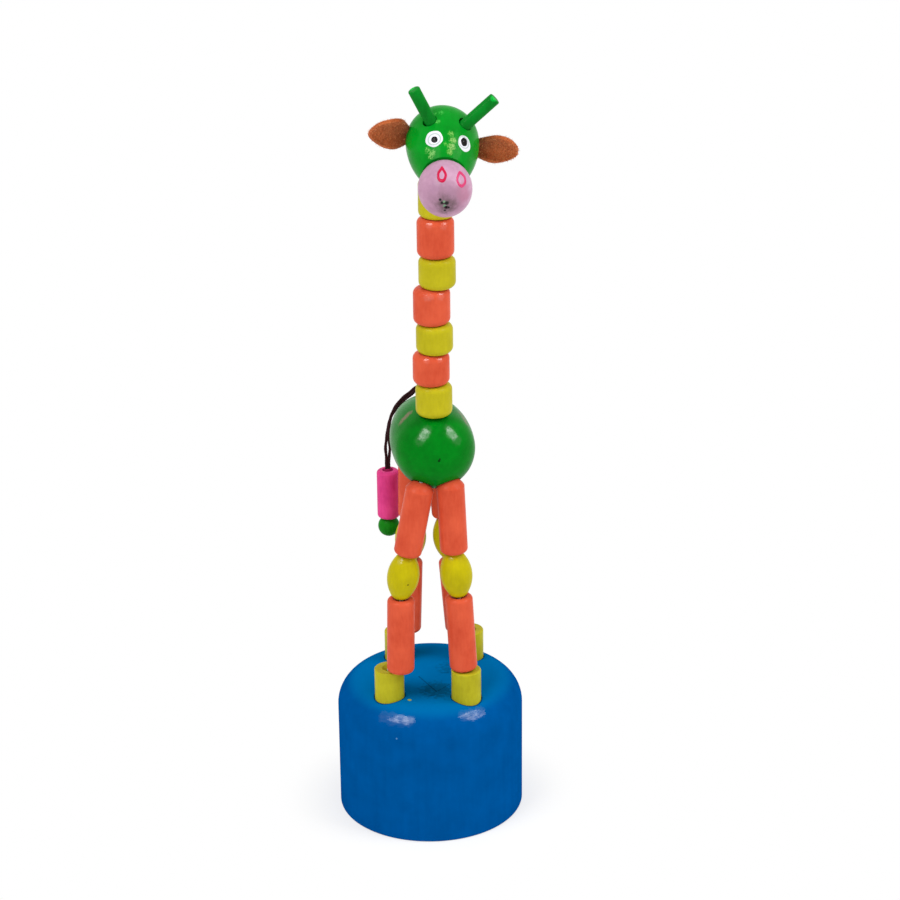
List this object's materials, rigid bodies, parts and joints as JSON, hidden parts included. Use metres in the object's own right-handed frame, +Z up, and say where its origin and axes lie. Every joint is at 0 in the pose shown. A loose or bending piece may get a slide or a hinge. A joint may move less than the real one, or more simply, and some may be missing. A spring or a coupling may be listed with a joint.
{
  "type": "push-up toy giraffe",
  "caption": "Wooden giraffe of turned beads strung over a hollow drum; a sprung thumb button under the drum slackens the strings and it folds",
  "frame": {"origin": "middle of the drum's flat underside", "axes": "+Z is up, -Y is the way the giraffe faces, and +X is on the right of the picture, which is taken from the front; the nodes named left are the ones on the left of the picture, at -X"},
  "size_m": [0.0488, 0.0545, 0.1983],
  "materials": {
    "blue_wood": "satin blue paint on turned wood",
    "bare_wood": "bare turned wood",
    "spring_steel": "bare spring wire",
    "nylon_string": "nylon string",
    "yellow_wood": "gloss yellow paint on turned wood",
    "orange_wood": "gloss orange paint on turned wood",
    "green_wood": "gloss green paint on turned wood",
    "pink_wood": "satin pink paint on turned wood",
    "brown_leather": "brown suede",
    "dark_cord": "twisted dark cord",
    "magenta_wood": "gloss magenta paint on turned wood"
  },
  "bodies": {
    "drum": {"base": "blue_wood", "foot_front_left": "yellow_wood", "foot_front_right": "yellow_wood", "foot_rear_left": "yellow_wood", "foot_rear_right": "yellow_wood", "base_strings": "nylon_string", "return_spring": "spring_steel"},
    "button": {"push_button": "bare_wood", "string_knots": "nylon_string"},
    "shin_front_left": {"shin_front_left": "orange_wood", "shin_string_front_left": "nylon_string"},
    "knee_front_left": {"knee_front_left": "yellow_wood", "knee_string_front_left": "nylon_string"},
    "thigh_front_left": {"thigh_front_left": "orange_wood", "thigh_string_front_left": "nylon_string"},
    "shin_front_right": {"shin_front_right": "orange_wood", "shin_string_front_right": "nylon_string"},
    "knee_front_right": {"knee_front_right": "yellow_wood", "knee_string_front_right": "nylon_string"},
    "thigh_front_right": {"thigh_front_right": "orange_wood", "thigh_string_front_right": "nylon_string"},
    "shin_rear_left": {"shin_rear_left": "orange_wood", "shin_string_rear_left": "nylon_string"},
    "knee_rear_left": {"knee_rear_left": "yellow_wood", "knee_string_rear_left": "nylon_string"},
    "thigh_rear_left": {"thigh_rear_left": "orange_wood", "thigh_string_rear_left": "nylon_string"},
    "shin_rear_right": {"shin_rear_right": "orange_wood", "shin_string_rear_right": "nylon_string"},
    "knee_rear_right": {"knee_rear_right": "yellow_wood", "knee_string_rear_right": "nylon_string"},
    "thigh_rear_right": {"thigh_rear_right": "orange_wood", "thigh_string_rear_right": "nylon_string"},
    "body": {"body": "green_wood", "body_strings": "nylon_string", "tail_cord": "dark_cord"},
    "neck_1": {"neck_bead_1": "yellow_wood", "neck_string_1": "nylon_string"},
    "neck_2": {"neck_bead_2": "orange_wood", "neck_string_2": "nylon_string"},
    "neck_3": {"neck_bead_3": "yellow_wood", "neck_string_3": "nylon_string"},
    "neck_4": {"neck_bead_4": "orange_wood", "neck_string_4": "nylon_string"},
    "neck_5": {"neck_bead_5": "yellow_wood", "neck_string_5": "nylon_string"},
    "neck_6": {"neck_bead_6": "orange_wood", "neck_string_6": "nylon_string"},
    "neck_7": {"neck_bead_7": "yellow_wood", "neck_string_7": "nylon_string"},
    "head": {"head": "green_wood", "head_string": "nylon_string", "muzzle": "pink_wood", "horn_left": "green_wood", "horn_right": "green_wood", "ear_left": "brown_leather", "ear_right": "brown_leather"},
    "tail": {"tail_bead": "magenta_wood", "tail_ball": "green_wood"}
  },
  "joints": [
    {"name": "button_press", "type": "slide", "parent": "drum", "child": "button", "axis": [0, 0, 1], "range_m": [0, 0.009], "stiffness_N_per_m": 300, "springref_m": -0.004, "deforming": ["return_spring", "base_strings"]},
    {"name": "ankle_front_left", "type": "hinge", "parent": "drum", "child": "shin_front_left", "pos_m": [-0.0075, -0.01645, 0.04605], "axis": [1, 0, 0], "range_deg": [0, 50], "stiffness_Nm_per_rad": 0.01, "springref_deg": 0.15},
    {"name": "knee_low_front_left", "type": "hinge", "parent": "shin_front_left", "child": "knee_front_left", "pos_m": [-0.007, -0.014, 0.06825], "axis": [1, 0, 0], "range_deg": [-50, 0], "stiffness_Nm_per_rad": 0.003},
    {"name": "knee_high_front_left", "type": "hinge", "parent": "knee_front_left", "child": "thigh_front_left", "pos_m": [-0.0058, -0.014, 0.07534], "axis": [1, 0, 0], "range_deg": [-50, 0], "stiffness_Nm_per_rad": 0.002},
    {"name": "ankle_front_right", "type": "hinge", "parent": "drum", "child": "shin_front_right", "pos_m": [0.0088, -0.01545, 0.04605], "axis": [1, 0, 0], "range_deg": [0, 50], "stiffness_Nm_per_rad": 0.01, "springref_deg": 0.15},
    {"name": "knee_low_front_right", "type": "hinge", "parent": "shin_front_right", "child": "knee_front_right", "pos_m": [0.0075, -0.013, 0.06821], "axis": [1, 0, 0], "range_deg": [-50, 0], "stiffness_Nm_per_rad": 0.003},
    {"name": "knee_high_front_right", "type": "hinge", "parent": "knee_front_right", "child": "thigh_front_right", "pos_m": [0.0067, -0.013, 0.07537], "axis": [1, 0, 0], "range_deg": [-50, 0], "stiffness_Nm_per_rad": 0.002},
    {"name": "ankle_rear_left", "type": "hinge", "parent": "drum", "child": "shin_rear_left", "pos_m": [-0.0057, 0.00755, 0.04605], "axis": [1, 0, 0], "range_deg": [0, 50], "stiffness_Nm_per_rad": 0.6, "springref_deg": -0.13},
    {"name": "knee_low_rear_left", "type": "hinge", "parent": "shin_rear_left", "child": "knee_rear_left", "pos_m": [-0.0049, 0.01, 0.06824], "axis": [1, 0, 0], "range_deg": [-50, 0], "stiffness_Nm_per_rad": 0.06, "springref_deg": -1.28},
    {"name": "knee_high_rear_left", "type": "hinge", "parent": "knee_rear_left", "child": "thigh_rear_left", "pos_m": [-0.0042, 0.01, 0.0754], "axis": [1, 0, 0], "range_deg": [-50, 0], "stiffness_Nm_per_rad": 0.06, "springref_deg": -1.28},
    {"name": "ankle_rear_right", "type": "hinge", "parent": "drum", "child": "shin_rear_right", "pos_m": [0.0079, 0.00755, 0.04605], "axis": [1, 0, 0], "range_deg": [0, 50], "stiffness_Nm_per_rad": 0.01, "springref_deg": 0.15},
    {"name": "knee_low_rear_right", "type": "hinge", "parent": "shin_rear_right", "child": "knee_rear_right", "pos_m": [0.006, 0.01, 0.06817], "axis": [1, 0, 0], "range_deg": [-50, 0], "stiffness_Nm_per_rad": 0.003},
    {"name": "knee_high_rear_right", "type": "hinge", "parent": "knee_rear_right", "child": "thigh_rear_right", "pos_m": [0.0049, 0.01, 0.07529], "axis": [1, 0, 0], "range_deg": [-50, 0], "stiffness_Nm_per_rad": 0.002},
    {"name": "hip_rear_left", "type": "hinge", "parent": "thigh_rear_left", "child": "body", "pos_m": [-0.0039, 0.01, 0.09435], "axis": [1, 0, 0], "range_deg": [0, 50], "stiffness_Nm_per_rad": 0.4, "springref_deg": -0.24},
    {"name": "neck_joint_1", "type": "hinge", "parent": "body", "child": "neck_1", "pos_m": [0.002, -0.012, 0.11545], "axis": [1, 0, 0], "range_deg": [0, 15], "stiffness_Nm_per_rad": 0.085, "springref_deg": 0.04},
    {"name": "neck_joint_2", "type": "hinge", "parent": "neck_1", "child": "neck_2", "pos_m": [0.00142, -0.012, 0.12375], "axis": [1, 0, 0], "range_deg": [0, 15], "stiffness_Nm_per_rad": 0.07, "springref_deg": 0.04},
    {"name": "neck_joint_3", "type": "hinge", "parent": "neck_2", "child": "neck_3", "pos_m": [0.00233, -0.012, 0.13195], "axis": [1, 0, 0], "range_deg": [0, 15], "stiffness_Nm_per_rad": 0.06, "springref_deg": 0.04},
    {"name": "neck_joint_4", "type": "hinge", "parent": "neck_3", "child": "neck_4", "pos_m": [0.00174, -0.012, 0.13955], "axis": [1, 0, 0], "range_deg": [0, 15], "stiffness_Nm_per_rad": 0.05, "springref_deg": 0.04},
    {"name": "neck_joint_5", "type": "hinge", "parent": "neck_4", "child": "neck_5", "pos_m": [0.00317, -0.012, 0.14885], "axis": [1, 0, 0], "range_deg": [0, 15], "stiffness_Nm_per_rad": 0.036, "springref_deg": 0.04},
    {"name": "neck_joint_6", "type": "hinge", "parent": "neck_5", "child": "neck_6", "pos_m": [0.00288, -0.012, 0.15675], "axis": [1, 0, 0], "range_deg": [0, 15], "stiffness_Nm_per_rad": 0.027, "springref_deg": 0.03},
    {"name": "neck_joint_7", "type": "hinge", "parent": "neck_6", "child": "neck_7", "pos_m": [0.00332, -0.012, 0.16675], "axis": [1, 0, 0], "range_deg": [0, 15], "stiffness_Nm_per_rad": 0.015, "springref_deg": 0.02},
    {"name": "head_nod", "type": "hinge", "parent": "neck_7", "child": "head", "pos_m": [0.00332, -0.012, 0.17475], "axis": [1, 0, 0], "range_deg": [0, 15], "stiffness_Nm_per_rad": 0.007, "springref_deg": -0.06},
    {"name": "tail_swing", "type": "hinge", "parent": "body", "child": "tail", "pos_m": [-0.0103, 0.017, 0.0886], "axis": [0, 1, 0], "range_deg": [-15, 40]}
  ],
  "couplings": [
    {"joint": "ankle_front_left", "follows": "button_press", "rad_per_m": 96.963},
    {"joint": "knee_low_front_left", "follows": "button_press", "rad_per_m": -96.963},
    {"joint": "knee_high_front_left", "follows": "button_press", "rad_per_m": -96.963},
    {"joint": "ankle_front_right", "follows": "button_press", "rad_per_m": 96.963},
    {"joint": "knee_low_front_right", "follows": "button_press", "rad_per_m": -96.963},
    {"joint": "knee_high_front_right", "follows": "button_press", "rad_per_m": -96.963},
    {"joint": "ankle_rear_left", "follows": "button_press", "rad_per_m": 96.963},
    {"joint": "knee_low_rear_left", "follows": "button_press", "rad_per_m": -96.963},
    {"joint": "knee_high_rear_left", "follows": "button_press", "rad_per_m": -96.963},
    {"joint": "ankle_rear_right", "follows": "button_press", "rad_per_m": 96.963},
    {"joint": "knee_low_rear_right", "follows": "button_press", "rad_per_m": -96.963},
    {"joint": "knee_high_rear_right", "follows": "button_press", "rad_per_m": -96.963},
    {"joint": "hip_rear_left", "follows": "button_press", "rad_per_m": 96.963},
    {"joint": "neck_joint_1", "follows": "button_press", "rad_per_m": 29.089},
    {"joint": "neck_joint_2", "follows": "button_press", "rad_per_m": 29.089},
    {"joint": "neck_joint_3", "follows": "button_press", "rad_per_m": 29.089},
    {"joint": "neck_joint_4", "follows": "button_press", "rad_per_m": 29.089},
    {"joint": "neck_joint_5", "follows": "button_press", "rad_per_m": 29.089},
    {"joint": "neck_joint_6", "follows": "button_press", "rad_per_m": 29.089},
    {"joint": "neck_joint_7", "follows": "button_press", "rad_per_m": 29.089},
    {"joint": "head_nod", "follows": "button_press", "rad_per_m": 29.089}
  ]
}
